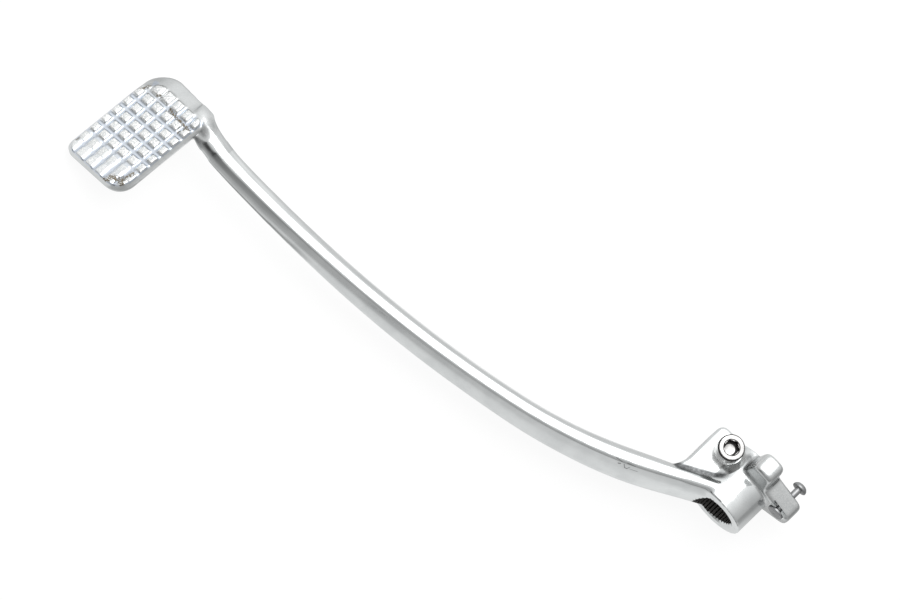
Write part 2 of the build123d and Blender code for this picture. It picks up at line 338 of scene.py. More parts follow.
def arm_line(x):
    """Point and heading, in plan, of the arm's centre line at X."""
    if x <= STRAIGHT_END_X:
        turn, y = 0.0, STRAIGHT_Y
    elif x <= ARCS_MEET_X:
        turn = asin((x - STRAIGHT_END_X) / LONG_RADIUS)
        y = STRAIGHT_Y + LONG_RADIUS * (1 - cos(turn))
    elif x <= ROOT_X:
        turn = asin(sin(LONG_TURN) + (x - ARCS_MEET_X) / SHORT_RADIUS)
        y = ARCS_MEET_Y + SHORT_RADIUS * (cos(LONG_TURN) - cos(turn))
    else:
        turn, y = FULL_TURN, ROOT_Y + (x - ROOT_X) * tan(FULL_TURN)
    return Vector((x, y, 0)), Vector((cos(turn), sin(turn), 0))


def station_slope(k, column):
    """Rate at which one size of the arm changes at station k, from its neighbours."""
    before = ARM_STATIONS[max(k - 1, 0)]
    after = ARM_STATIONS[min(k + 1, len(ARM_STATIONS) - 1)]
    return (after[column] - before[column]) / (after[0] - before[0])


def arm_sizes(x):
    """Half width, half depth, shift and lift of the arm at X, smooth between its stations."""
    i = max(k for k in range(len(ARM_STATIONS) - 1) if k == 0 or ARM_STATIONS[k][0] <= x)
    start, end = ARM_STATIONS[i], ARM_STATIONS[i + 1]
    span = end[0] - start[0]
    t = (x - start[0]) / span
    sizes = []
    for column in range(1, 5):
        rise_start = station_slope(i, column) * span
        rise_end = station_slope(i + 1, column) * span
        sizes.append((2 * t**3 - 3 * t**2 + 1) * start[column] + (t**3 - 2 * t**2 + t) * rise_start
                     + (3 * t**2 - 2 * t**3) * end[column] + (t**3 - t**2) * rise_end)
    share = eased(-x, LIFT_START, LIFT_END)
    sizes[3] += ARM_LIFT * share * share * (3 - 2 * share)
    return sizes


def arm_place(x):
    """Matrix that carries the unit section to its place on the arm at X."""
    point, along = arm_line(x)
    across = Vector((-along.y, along.x, 0))
    half_width, half_depth, shift, lift = arm_sizes(x)
    centre = point + across * shift + Vector((0, 0, lift))
    columns = (across * half_width, Vector((0, 0, half_depth)), along, centre)
    return Matrix([[column[row] for column in columns] for row in range(3)] + [[0, 0, 0, 1]])


def arm():
    """Bmesh of the arm: one creased section drawn along the centre line."""
    right = ARM_QUARTER + [(x, -y, reach) for x, y, reach in reversed(ARM_QUARTER)]
    left = [(-x, y, reach) for x, y, reach in reversed(right)]
    bm = bmesh.new()
    outline(bm, right + left)
    first, last = ARM_STATIONS[0][0], ARM_STATIONS[-1][0]
    here = arm_place(first)
    bmesh.ops.transform(bm, verts=bm.verts, matrix=here)
    cap = bm.faces[:]
    for step in range(1, ARM_STEPS + 1):
        grown = bmesh.ops.extrude_face_region(bm, geom=cap)["geom"]
        ring = [item for item in grown if isinstance(item, bmesh.types.BMVert)]
        there = arm_place(first + ((last - first) * step / ARM_STEPS))
        bmesh.ops.transform(bm, verts=ring, matrix=there @ here.inverted())
        cap = [item for item in grown if isinstance(item, bmesh.types.BMFace)]
        here = there
    bmesh.ops.recalc_face_normals(bm, faces=bm.faces)
    return bm


def arm_at_pad():
    """Bmesh of the arm's pad end, closed by a flat cut."""
    end = part_of(arm(), None, PAD_CUT + PAD_LAP)
    close_cuts(end)
    return end


def ears():
    """Bmesh of both pinch ears as one block: its free edge runs into the arm in a hollow."""
    foot, heading = arm_line(-EAR_REACH)
    slope = heading.y / heading.x

    def flank(x):
        """Y of the arm's inner flank at the level of the ears' faces."""
        return foot.y + FLANK_HALF + (x + EAR_REACH) * slope

    bm = prism([
        (0, HUB_LENGTH, 0),
        (-EAR_REACH, HUB_LENGTH, EAR_CORNER),
        (-EAR_REACH, flank(-EAR_REACH), EAR_BLEND),
        (-2 * EAR_REACH, flank(-2 * EAR_REACH), 0),
        (-1.5 * EAR_REACH, flank(-1.5 * EAR_REACH) - EAR_ROOT, 0),
        (0, flank(0) - EAR_ROOT, 0),
    ], -EAR_FACE, EAR_FACE)
    round_rims(bm, EAR_RIM)
    return bm


def lever_and_lug():
    """Bmesh of the rear lever and the stop lug, cut from one plate at the hub's inner end."""
    bm = prism(LEVER_OUTLINE, LEVER_OUTER, HUB_LENGTH)
    round_rims(bm, LEVER_RIM)
    bmesh.ops.transform(bm, verts=bm.verts, matrix=ALONG_SHAFT)
    bmesh.ops.recalc_face_normals(bm, faces=bm.faces)
    return bm


def pad():
    """Bmesh of the pad alone, from the part's own solid."""
    bm = bmesh.new()
    bm.from_mesh(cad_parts["pedal_forging"].data)
    bmesh.ops.scale(bm, verts=bm.verts, vec=(1000, 1000, 1000))
    bmesh.ops.remove_doubles(bm, verts=bm.verts, dist=0.001)
    trim(bm, PAD_ROOT, 1)
    close_cuts(bm)
    return bm


# Forging: how polishing and wear leave it

def tread_place(point):
    """Place on the tread: across it, along the shaft's direction, height over its face."""
    local = point - PAD_CENTRE
    return local.dot(PAD_X), local.dot(PAD_Y), local.dot(PAD_Z)


def overhang(x, y):
    """How far a place lies outside the tread's rounded outline."""
    radius = TREAD_CORNERS[x > 0, y > 0]
    dx, dy = abs(x) - TREAD_HALF_X + radius, abs(y) - TREAD_HALF_Y + radius
    if dx > 0 and dy > 0:
        return sqrt(dx * dx + dy * dy) - radius
    return max(dx, dy) - radius


def hub_softness(point):
    """Passes of smoothing on the hub: few at the bore's mouth, more on the lever and its lug,
    most where the ears, the barrel and the arm run together."""
    if point.y < 1.5 and point.x > 0:
        return 4
    radius = sqrt(point.x ** 2 + point.z ** 2)
    blend = eased(point.x, -19, -15) * eased(point.z, 4, 8) * (1 - eased(point.y, 11, 16))
    lever = (eased(radius, HUB_RADIUS, HUB_RADIUS + 2) * eased(point.y, 14, 17)
             * eased(point.x, -8, -5))
    return 10 + 24 * blend + 12 * lever + 14 * lever * eased(point.z, 15, 19)


def pad_softness(point):
    """Passes of smoothing on the pad: least on the tread, most where the arm runs in."""
    x, y, height = tread_place(point)
    if y > 25.0 or point.x > PAD_EDGE:
        return 14 + 80 * (1 - eased((point - ARM_END).length, 8, 16))
    return 12 if height < -1.9 else 8


def softness(point):
    """Passes of smoothing that a place on the forging gets."""
    if point.x > HUB_CUT + HUB_LAP:
        return hub_softness(point)
    if point.x > PAD_CUT - PAD_LAP / 2:
        return 9
    return pad_softness(point)


def soften(bm):
    """Rounds the skin's edges as forging and polishing leave them."""
    wanted = [(vert, softness(vert.co)) for vert in bm.verts]
    for done in range(ceil(max(passes for _, passes in wanted))):
        verts = [vert for vert, passes in wanted if passes > done]
        bmesh.ops.smooth_vert(bm, verts=verts, factor=0.5, use_axis_x=True, use_axis_y=True,
                              use_axis_z=True)


def slope_rim(bm):
    """Slopes the flat rim round the tread down to the side wall, as on the worn casting."""
    for vert in bm.verts:
        if vert.co.x > PAD_EDGE:
            continue
        x, y, height = tread_place(vert.co)
        out = overhang(x, y)
        if out < 0.05 or height < RIM_FOOT or y > TREAD_HALF_Y:
            continue
        level = max(TREAD_FLOOR - 2.0 * out, RIM_FOOT + (height - RIM_FOOT) * 0.2)
        if height > level:
            vert.co -= PAD_Z * (height - level) * (1 - eased(y, 20, TREAD_HALF_Y))


def swell_margin(bm):
    """Fills out the pad's toe side by what the smoothing took from it."""
    bm.normal_update()
    for vert in bm.verts:
        x, y, height = tread_place(vert.co)
        corner = eased(y, 14, 24) * eased(-x, -6, 8)
        toe_wall = eased(-x, 15.5, 17) * eased(-height, 1.2, 1.8)
        vert.co += vert.normal * max(0.8 * corner, 0.45 * toe_wall)
        vert.co.x = max(vert.co.x, TOE_LIMIT)


def wear_tread(bm):
    """Wears the bumps down towards the tread's outer end, where its cross grooves fill up."""
    for vert in bm.verts:
        x, y, height = tread_place(vert.co)
        on_tread = vert.co.x <= PAD_EDGE and height >= -1.3 and abs(x) <= 18 and -25 <= y <= 24
        if not on_tread:
            continue
        end = eased(-y, 7, 17)
        corner = 1 - eased(sqrt((x - 9) ** 2 + (y + 19) ** 2), 0, 13)
        worn = min(0.4 * end + 0.4 * corner, 0.7)
        from_groove = abs((x + TREAD_PITCH / 2) % TREAD_PITCH - TREAD_PITCH / 2)
        filled = (eased(from_groove, 0.8, 1.9) * end * eased(25 - abs(y), 0.5, 2.5)
                  * (1 - eased(abs(x), 15, 17)))
        level = height - (height - TREAD_FLOOR) * worn
        level += max(-0.5 - level, 0) * 0.85 * filled
        vert.co += PAD_Z * (level - height)


# Forging: what is machined in it

def chamfer(low_radius, high_radius, depth):
    """Bmesh of a cone along the shaft, about the origin, that breaks an edge of the bore."""
    bm = bmesh.new()
    bmesh.ops.create_cone(bm, cap_ends=True, segments=160, radius1=low_radius,
                          radius2=high_radius, depth=depth)
    bmesh.ops.transform(bm, verts=bm.verts, matrix=ALONG_SHAFT)
    return bm


def outer_chamfer():
    """Bmesh of the cone at the outer end. It leans, so that it fades out where the arm begins."""
    bm = chamfer(ROOT_RADIUS + 1.5, ROOT_RADIUS - 1.5, 3.0)
    lean = Matrix.Rotation(radians(4), 3, "Z")
    bmesh.ops.rotate(bm, verts=bm.verts, cent=(-1, 0, 0), matrix=lean)
    trim(bm, -1, -1)
    close_cuts(bm)
    bmesh.ops.recalc_face_normals(bm, faces=bm.faces)
    return bm


def inner_chamfer():
    """Bmesh of the cone at the hub's inner end."""
    bm = chamfer(ROOT_RADIUS - 1.3, ROOT_RADIUS + 1.9, 3.2)
    bmesh.ops.translate(bm, verts=bm.verts, vec=(0, HUB_LENGTH - 0.4, 0))
    bmesh.ops.recalc_face_normals(bm, faces=bm.faces)
    return bm


def serrated_bore():
    """Bmesh of the space inside the bore: a round core with a tooth space every ten degrees."""
    step = 2 * pi / TOOTH_COUNT
    reach = TOOTH_HALF / TIP_RADIUS
    ring = []
    for tooth in range(TOOTH_COUNT):
        middle = tooth * step
        for angle, radius in [(middle - reach, TIP_RADIUS), (middle, ROOT_RADIUS),
                              (middle + reach, TIP_RADIUS), (middle + step / 2, TIP_RADIUS)]:
            ring.append((radius * cos(angle), radius * sin(angle), 0))
    return prism(ring, -25, 35, ALONG_SHAFT)


def machined(body):
    """Bmesh of the hub after its bore, slot, screw hole and post channel are cut. The slot and
    the channel's top run out past the metal on their open sides."""
    slot = [(-60, SLOT_START, 0), (2, SLOT_START, 0), (2, 40, 0), (-60, 40, 0)]
    channel_left, channel_right = POST_X - CHANNEL_RADIUS, POST_X + CHANNEL_RADIUS
    channel_top = [(channel_left, POST_Z, 0), (channel_right, POST_Z, 0),
                   (channel_right, 30, 0), (channel_left, 30, 0)]
    tools = [
        outer_chamfer(),
        inner_chamfer(),
        serrated_bore(),
        prism(slot, -SLOT_HALF, SLOT_HALF),
        rod(SCREW_RADIUS + EAR_CLEARANCE, 0, EAR_FACE + 0.5, AT_SCREW, 64),
        rod(SCREW_RADIUS + FIT_CLEARANCE, -15, 0.5, AT_SCREW, 64),
        rod(SPOTFACE_RADIUS, EAR_FACE, 30, AT_SCREW),
        rod(CHANNEL_RADIUS, CHANNEL_START, CHANNEL_FLOOR, AT_POST),
        prism(channel_top, CHANNEL_START, CHANNEL_FLOOR, ALONG_SHAFT),
        rod(POST_RADIUS + FIT_CLEARANCE, 15, 30, AT_POST, 48),
    ]
    for tool in tools:
        body = cut_away(body, tool)
    return body


def in_bore(centre, normal):
    """True on the walls of the serrated bore."""
    return centre.x ** 2 + centre.z ** 2 < (ROOT_RADIUS + 0.05) ** 2 and abs(normal.y) < 0.3


# Forging: where it is cast and rusty, and where shade and glints are painted on it

# Rust on the tread: strokes between two places on it, with how far each reaches
RUST_STROKES = [
    ((1.5, 18.7), (8.0, 17.9), 0.9),
    ((8.0, 17.9), (15.0, 17.4), 1.1),
    ((12.5, 13.6), (14.0, 17.0), 0.8),
    ((-7.4, 19.6), (-6.6, 20.4), 0.7),
    ((-15.5, 17.6), (-14.4, 20.6), 1.7),
    ((6.6, -24.0), (9.5, -23.4), 1.0),
    ((9.3, -21.5), (13.5, -18.8), 2.0),
    ((12.6, -19.5), (15.2, -20.5), 1.6),
    ((13.4, -17.6), (14.6, -13.5), 1.2),
    ((-16.3, -19.0), (-15.7, -18.2), 0.9),
]

# Where the arm runs into the pad beside the tread: painted shade darkens it there, and the cast
# grain roughens it
NECK = (-266.6, -51.0, 5.0), (-266.0, -44.0, 7.3)

# Where the ears meet the arm, in plan: the crease along which shade is painted dark
EAR_HOLLOW = [((-25.0, -0.6), (-13.0, 6.6)), ((-13.0, 6.6), (-2.0, 13.6))]

# Corners at the stop lug's foot, with how far the painted shade reaches from each
LUG_CORNERS = [
    ((-5.6, 23.5, 13.0), (-3.2, 18.0, 16.0), 2.6),
    ((9.8, 22.0, 14.2), (9.9, 27.0, 14.2), 0.9),
]


def mark_pad(bm):
    """Writes, on each vertex, how cast the pad is there, which also sets its painted glints, how
    much painted shade darkens it, how close rust is, and how deep in a groove it lies, which sets
    its painted bluish sheen."""
    cast_and_glint = bm.verts.layers.float.new("cast_and_glint")
    rust = bm.verts.layers.float.new("rust")
    painted_shade_and_tone = bm.verts.layers.float.new("painted_shade_and_tone")
    groove = bm.verts.layers.float.new("groove")
    bm.normal_update()
    lee = (PAD_Y - PAD_X).normalized()
    for vert in bm.verts:
        x, y, height = tread_place(vert.co)
        near_neck = eased(stroke_distance(vert.co, *NECK), 7.5, 1.5)
        # Painted shade: darkens the arm's run into the pad and the margin past the tread's inner
        # end
        neck_and_margin_shade = max(0.5 * near_neck, 0.22 * eased(y, 20, 25))
        vert[painted_shade_and_tone] = neck_and_margin_shade * eased(overhang(x, y), 0.3, 1.2)
        vert[cast_and_glint] = 0.35 * near_neck
        on_tread = -1.6 <= height <= 1.0 and abs(x) <= 17.5 and y <= 24.5
        if not on_tread:
            continue
        vert[cast_and_glint] = 0.1 + 0.9 * eased(height, -0.8, -0.2)
        vert[groove] = 1 - eased(height, -1.0, -0.5)
        vert[rust] = max(eased(stroke_distance((x, y), start, end), 1.5 * reach, 0.3 * reach)
                         for start, end, reach in RUST_STROKES)
        # Painted shade: dark outlines on the bumps' walls that lean towards -X and +Y
        shaded = eased(vert.normal.dot(lee), 0.42, 0.58) * eased(height, -1.0, -0.7)
        vert[painted_shade_and_tone] = max(vert[painted_shade_and_tone], 0.8 * shaded * eased(y, -22, -4) * eased(x, -17.5, -12))


def mark_hub(bm):
    """Writes, on each vertex, how satin the lever and lug are, which also sets their painted
    glints, their darker tone, and the painted shade in the ears' hollow and at the lug's corners.
    """
    cast_and_glint = bm.verts.layers.float.new("cast_and_glint")
    painted_shade_and_tone = bm.verts.layers.float.new("painted_shade_and_tone")
    for vert in bm.verts:
        x, y, z = vert.co
        if y > 16 and (x > 5 or z > 13.5):
            vert[cast_and_glint] = 0.35
            vert[painted_shade_and_tone] = 0.22
        # Painted shade in the crease where the ears meet the arm, and at the lug's corners
        if z > 7.5 and -30 < x < 2:
            nearest = min(stroke_distance((x, y), start, end) for start, end in EAR_HOLLOW)
            vert[painted_shade_and_tone] = max(vert[painted_shade_and_tone], eased(nearest, 2.0, 0.7) * eased(z, 13.0, 11.5))
        for start, end, reach in LUG_CORNERS:
            share = eased(stroke_distance((x, y, z), start, end), reach, 0.3 * reach)
            vert[painted_shade_and_tone] = max(vert[painted_shade_and_tone], 0.8 * share)


def build_forging(plate, shade_black):
    """Skins the forging, softens it, machines the hub and parts it in three pieces."""
    barrel = rod(HUB_RADIUS, 0, HUB_LENGTH, ALONG_SHAFT)
    skin = skinned(joined([arm(), barrel, ears(), lever_and_lug()]), GRAIN)
    soften(skin)
    hub = part_of(skin, HUB_CUT - HUB_LAP, None)
    close_cuts(hub)
    hub = machined(hub)
    # The bore's walls take the near-black painted shade
    shade_faces(hub, in_bore)
    mark_hub(hub)
    finished("hub_skin", part_of(hub, HUB_CUT, None), [plate, shade_black], "pedal_forging", 35)
    finished("arm_skin", part_of(skin, PAD_CUT, HUB_CUT), [plate], "pedal_forging", 60)
    hub.free()
    skin.free()
    fine = skinned(joined([arm_at_pad(), pad()]), FINE_GRAIN)
    slope_rim(fine)
    soften(fine)
    swell_margin(fine)
    wear_tread(fine)
    mark_pad(fine)
    finished("pad_skin", part_of(fine, None, PAD_CUT), [plate], "pedal_forging", 60)
    fine.free()


# Pinch screw and spring post

def screw():
    """Bmesh of the socket head screw, seated on the front ear."""
    top = EAR_FACE + HEAD_HEIGHT
    body = spun([
        (0, SCREW_END, 0),
        (3.4, SCREW_END, 0),
        (SCREW_RADIUS, SCREW_END + 0.55, 0),
        (SCREW_RADIUS, EAR_FACE - 0.4, 0),
        (SCREW_RADIUS, EAR_FACE, 0),
        (HEAD_RADIUS, EAR_FACE, 0.2),
        (HEAD_RADIUS, top - 0.7, 0.3),
        (HEAD_RADIUS - 0.6, top, 0.25),
        (0, top, 0),
    ], AT_SCREW)
    hexagon = rod(HEX_REACH, top - HEX_DEPTH, top + 2, AT_SCREW, 6)
    broken_edge = spun([(0, top - 0.5, 0), (3.35, top - 0.5, 0), (4.1, top + 0.3, 0),
                        (0, top + 0.3, 0)], AT_SCREW)
    drill_point = spun([(0, top - 5.2, 0), (2.75, top - 4.0, 0), (0, top - 4.0, 0)], AT_SCREW)
    for tool in [hexagon, broken_edge, drill_point]:
        body = cut_away(body, tool)
    return body


def in_socket(centre, normal):
    """True on the walls and the floor of the screw's socket, and on the head's broken edges."""
    radius = sqrt((centre.x - SCREW_X) ** 2 + (centre.y - SCREW_Y) ** 2)
    height = centre.z - EAR_FACE
    floor_height = HEAD_HEIGHT - HEX_DEPTH
    in_hexagon = radius < HEX_REACH + 0.05 and height > floor_height - 0.2
    wall = in_hexagon and abs(normal.z) < 0.5
    floor = in_hexagon and height < floor_height + 0.2 and normal.z > 0.9
    edge = radius > HEAD_RADIUS - 0.5 and height > HEAD_HEIGHT / 2 and 0.02 < abs(normal.z) < 0.9
    return wall or floor or edge


def post():
    """Bmesh of the spring post: turned disc head, shank and domed mushroom head."""
    end = HUB_LENGTH + POST_STAND
    return spun([
        (0, DISC_OUTER + 0.12, 0),
        (1.5, DISC_OUTER + 0.12, 0.05),
        (1.7, DISC_OUTER, 0.05),
        (2.6, DISC_OUTER, 0.05),
        (2.75, DISC_OUTER + 0.1, 0.05),
        (DISC_RADIUS, DISC_OUTER + 0.1, 0.3),
        (DISC_RADIUS, DISC_INNER, 0.2),
        (POST_RADIUS, DISC_INNER, 0.1),
        (POST_RADIUS, end, 0.2),
        (MUSHROOM_RADIUS, end, 0.4),
        (MUSHROOM_RADIUS, end + 1.0, 0.5),
        (2.4, end + 2.35, 0.7),
        (0, end + 2.7, 0),
    ], AT_POST)


# Finishes

# Scratches on the arm's outer flank, near the hub: both ends and half width
SCRATCHES = [
    ((-45.1, -18.7, 12.4), (-42.1, -18.0, 11.9), 0.12),
    ((-42.8, -19.2, 10.4), (-42.0, -19.0, 10.8), 0.30),
    ((-40.7, -18.0, 11.1), (-39.6, -18.4, 9.6), 0.12),
    ((-39.6, -18.4, 9.6), (-38.7, -18.1, 9.4), 0.16),
    ((-38.7, -18.1, 9.4), (-38.1, -17.1, 10.5), 0.12),
    ((-40.0, -16.9, 12.2), (-36.7, -15.5, 12.1), 0.12),
    ((-37.6, -17.4, 9.8), (-34.6, -15.7, 9.9), 0.06),
]

# Near-white of the painted glints
CAST_GLINT = (0.97, 0.97, 0.96, 1)
# Bluish painted sheen of the grooves
PAINTED_GROOVE_SHEEN = (0.66, 0.71, 0.78, 1)
RUST_BROWN = (0.27, 0.215, 0.13, 1)
RUST_DARK = (0.06, 0.053, 0.038, 1)
SCRATCH_GREY = (0.16, 0.16, 0.165, 1)
# Grey of the painted shade
PAINTED_SHADE_GREY = (0.09, 0.093, 0.095, 1)
# Near-black and dark grey of the painted shade in the bore and the screw's socket
SHADE_BLACK = (0.012, 0.011, 0.011, 1)
SHADE_DARK_GREY = (0.06, 0.057, 0.055, 1)
LAND_GREY = (0.16, 0.155, 0.15, 1)
FLOOR_WHITE = (0.9, 0.9, 0.9, 1)
BLACK = (0, 0, 0, 1)
WHITE = (1, 1, 1, 1)


class Nodes:
    """Adds nodes to one node tree. What a node takes is a plain value or another's socket."""

    def __init__(self, tree):
        self.tree = tree

    def feed(self, socket, value):
        """Links a socket to another, or sets it to a plain value."""
        if isinstance(value, bpy.types.NodeSocket):
            self.tree.links.new(value, socket)
        else:
            socket.default_value = value

    def fit(self, node, **settings):
        """Sets a node's properties and, by label, its inputs."""
        for key, value in settings.items():
            if hasattr(node, key):
                setattr(node, key, value)
            else:
                self.feed(node.inputs[key.replace("_", " ")], value)

    def add(self, kind, **settings):
        """New node with its settings."""
        node = self.tree.nodes.new("ShaderNode" + kind)
        self.fit(node, **settings)
        return node

    def place(self):
        """Place in the piece, in metres."""
        return self.add("TexCoord").outputs["Object"]

    def attribute(self, name):
        """Number that the mesh holds under a name."""
        return self.add("Attribute", attribute_name=name).outputs["Fac"]

    def noise(self, place, size, detail=2.0, roughness=0.5):
        """Noise with features of about a size in mm."""
        node = self.add("TexNoise", Vector=place, Scale=1000.0 / size, Detail=detail,
                        Roughness=roughness)
        return node.outputs["Fac"]

    def spread(self, value, low, high, to_low, to_high, interpolation="LINEAR"):
        """Value carried from one range to another, and held at its ends."""
        node = self.add("MapRange", interpolation_type=interpolation, Value=value, From_Min=low,
                        From_Max=high, To_Min=to_low, To_Max=to_high)
        return node.outputs["Result"]

    def maths(self, operation, *values):
        """Result of a sum on numbers."""
        node = self.add("Math", operation=operation)
        for socket, value in zip(node.inputs, values):
            self.feed(socket, value)
        return node.outputs["Value"]

    def plus(self, a, b):
        """Sum of two numbers."""
        return self.maths("ADD", a, b)

    def minus(self, a, b):
        """First number less the second."""
        return self.maths("SUBTRACT", a, b)

    def times(self, a, b):
        """Product of two numbers."""
        return self.maths("MULTIPLY", a, b)

    def vectors(self, operation, *values):
        """Result of a sum on vectors, which for some sums is a number."""
        node = self.add("VectorMath", operation=operation)
        for socket, value in zip(node.inputs, values):
            self.feed(socket, value)
        gives_number = operation in ("DOT_PRODUCT", "DISTANCE", "LENGTH")
        return node.outputs["Value" if gives_number else "Vector"]

    def scaled(self, vector, share):
        """Vector times a number."""
        node = self.add("VectorMath", operation="SCALE", Scale=share)
        self.feed(node.inputs[0], vector)
        return node.outputs["Vector"]

    def stroke_distance(self, place, start, end):
        """Distance in mm from a straight stroke between two places."""
        start, end = Vector(start), Vector(end)
        along, length = (end - start).normalized(), (end - start).length
        offset = self.vectors("MULTIPLY_ADD", place, (1000, 1000, 1000), -start)
        run = self.vectors("DOT_PRODUCT", offset, along)
        foot = self.scaled(along, self.spread(run, 0.0, length, 0.0, length))
        return self.vectors("DISTANCE", offset, foot)

    def blend(self, share, a, b, blend_type="MIX"):
        """Colour between two by a share."""
        node = self.add("Mix", data_type="RGBA", blend_type=blend_type, Factor=share, A=a, B=b)
        return node.outputs["Result"]

    def levels(self, value, stops, interpolation="LINEAR"):
        """Grey level by a value from 0 to 1, from stops of value and level."""
        node = self.add("ValToRGB", Fac=value)
        node.color_ramp.interpolation = interpolation
        elements = node.color_ramp.elements
        while len(elements) < len(stops):
            elements.new(0.5)
        for element, (position, level) in zip(elements, stops):
            element.position = position
            element.color = (level, level, level, 1)
        return node.outputs["Color"]

    def either(self, share, a, b):
        """Shader between two by a share."""
        node = self.add("MixShader", Fac=share)
        self.feed(node.inputs[1], a)
        self.feed(node.inputs[2], b)
        return node.outputs["Shader"]


def new_finish(name):
    """New material, with the maker of its nodes and its shader."""
    material = bpy.data.materials.new(name)
    material.use_nodes = True
    return material, Nodes(material.node_tree), material.node_tree.nodes["Principled BSDF"]


def forging_marks(nodes, place, colour, rough, height):
    """Colour, roughness, height and share of bare metal, once the forging's cast faces with their
    painted glints, the painted bluish sheen in its grooves, rust pits, scratches, and painted
    shade with the lever's darker tone are laid over its plate."""
    cast_and_glint = nodes.attribute("cast_and_glint")
    # Painted glints: near-white speckles over the cast faces, standing in for highlights
    glint = nodes.spread(nodes.noise(place, 0.75, 3.0), 0.46, 0.58, 0.0, 1.0)
    colour = nodes.blend(nodes.times(cast_and_glint, glint), colour, CAST_GLINT)
    coarse = nodes.times(nodes.noise(place, 0.9, 4.0, 0.65), cast_and_glint)
    height = nodes.plus(height, nodes.times(coarse, 0.14))
    rough = nodes.plus(rough, nodes.times(cast_and_glint, 0.10))

    # Painted sheen: the grooves are tinted bluish, as a reflection would tint them
    colour = nodes.blend(nodes.attribute("groove"), colour, PAINTED_GROOVE_SHEEN)

    rust = nodes.attribute("rust")
    eaten = nodes.plus(nodes.noise(place, 0.7, 4.0, 0.7), nodes.times(rust, 0.26))
    pits = nodes.times(nodes.spread(eaten, 0.68, 0.76, 0.0, 1.0),
                       nodes.maths("GREATER_THAN", rust, 0.02))
    colour = nodes.blend(pits, colour, nodes.blend(nodes.noise(place, 0.9), RUST_BROWN, RUST_DARK))

    for start, end, half_width in SCRATCHES:
        gap = nodes.stroke_distance(place, start, end)
        scored = nodes.spread(gap, half_width, half_width + 0.15, 0.7, 0.0)
        colour = nodes.blend(scored, colour, SCRATCH_GREY)

    # Painted shade, and the lever's darker tone, darken the colour here
    painted_shade_and_tone = nodes.attribute("painted_shade_and_tone")
    patchy = nodes.spread(nodes.noise(place, 1.2, 4.0), 0.3, 0.6, 0.85, 1.0)
    colour = nodes.blend(nodes.times(painted_shade_and_tone, patchy), colour, PAINTED_SHADE_GREY)
    rough = nodes.plus(rough, nodes.times(painted_shade_and_tone, 0.25))

    rough = nodes.plus(rough, nodes.times(pits, 0.4))
    height = nodes.minus(height, nodes.times(pits, 0.12))
    return colour, rough, height, nodes.minus(1.0, nodes.times(pits, 0.85))


def metal(name, bright, dim, gloss, waves, grain, marks=None):
    """Plated metal: two greys, a range of gloss, and soft waves and fine grain in mm. Marks
    lays over it what wear leaves, and painted shade, glints and sheen."""
    material, nodes, shader = new_finish(name)
    place = nodes.place()
    patches = nodes.spread(nodes.noise(place, 9.0, 3.0), 0.4, 0.6, 0.0, 1.0)
    colour = nodes.blend(patches, bright + (1,), dim + (1,))
    rough = nodes.spread(nodes.noise(place, 3.5, 4.0), 0.35, 0.65, *gloss)
    height = nodes.plus(nodes.times(nodes.noise(place, 6.0), waves),
                        nodes.times(nodes.noise(place, 0.45, 3.0), grain))
    bare = 1.0
    if marks:
        colour, rough, height, bare = marks(nodes, place, colour, rough, height)
    bump = nodes.add("Bump", Strength=1.0, Distance=0.001, Height=height)
    nodes.fit(shader, Base_Color=colour, Roughness=rough, Metallic=bare,
              Normal=bump.outputs["Normal"])
    return material


def painted_shade_black():
    """Near-black, greasy steel colour: painted shade inside the bore, the screw's socket and on
    the head's broken edges, lighter where worn on the bore's lands.
    """
    material, nodes, shader = new_finish("painted_shade_black")
    place = nodes.place()
    patches = nodes.noise(place, 5 / 3, 4.0)
    radius = nodes.vectors("LENGTH", nodes.vectors("MULTIPLY", place, (1000, 0, 1000)))
    on_land = nodes.spread(radius, TIP_RADIUS + 0.02, TIP_RADIUS + 0.2, 1.0, 0.0)
    tone = nodes.blend(on_land, nodes.blend(patches, SHADE_BLACK, SHADE_DARK_GREY), LAND_GREY)
    bump = nodes.add("Bump", Strength=0.6, Distance=0.0001, Height=patches)
    nodes.fit(shader, Metallic=0.6, Base_Color=tone, Normal=bump.outputs["Normal"],
              Roughness=nodes.spread(patches, 0.0, 1.0, 0.35, 0.6))
    return material


# Stage: floor, studio and camera, in metres

FLOOR_Z = -0.0143
FLOOR_RUN = 0.2          # how far the floor's tone changes to either side

# Painted light on the floor, seen only in the metal: its share from the arm's outer side to its
# inner one, its fade rearward, and the centre of a painted shadow beside the pad
BESIDE_ARM = [(-0.2, 0.60), (-0.05, 0.86), (-0.028, 0.94), (-0.02, 1.1), (-0.008, 1.25),
              (0.0, 1.05), (0.014, 0.72), (0.03, 0.74), (0.08, 0.9), (0.16, 1.0)]
REARWARD = [(0.0, 1.0), (0.07, 0.5)]
PAD_SHADOW_SPOT = (-0.232, -0.092, FLOOR_Z)

BRIGHTEST = 1.3          # level of the studio overhead, where white is 1
WALLS_TOWARDS = (-0.22, 0.55, 0.75)
WALL_LEVELS = [(0.27, 0.38), (0.38, 0.29), (0.50, 0.37), (0.635, 0.46), (0.73, 0.58),
               (0.80, 0.68), (0.875, 0.78), (0.95, 1.0)]
SHADE_TOWARDS = (-0.26, -0.80, 0.545)
SHADE_LEVELS = [(0.90, 1.0), (0.955, 0.75), (0.985, 0.45), (0.996, 0.12)]

LAMP_PLACE = Vector((-0.3, 0.5, 1.3))
LAMP_AIM = Vector((-0.14, 0, 0))

SENSOR = 36.0            # mm
CAMERA_DISTANCE = 8.0
VIEW_WIDTH = 0.3825      # what the frame takes in at the part
VIEW_CENTRE = Vector((-0.1423, -0.0197, 0))


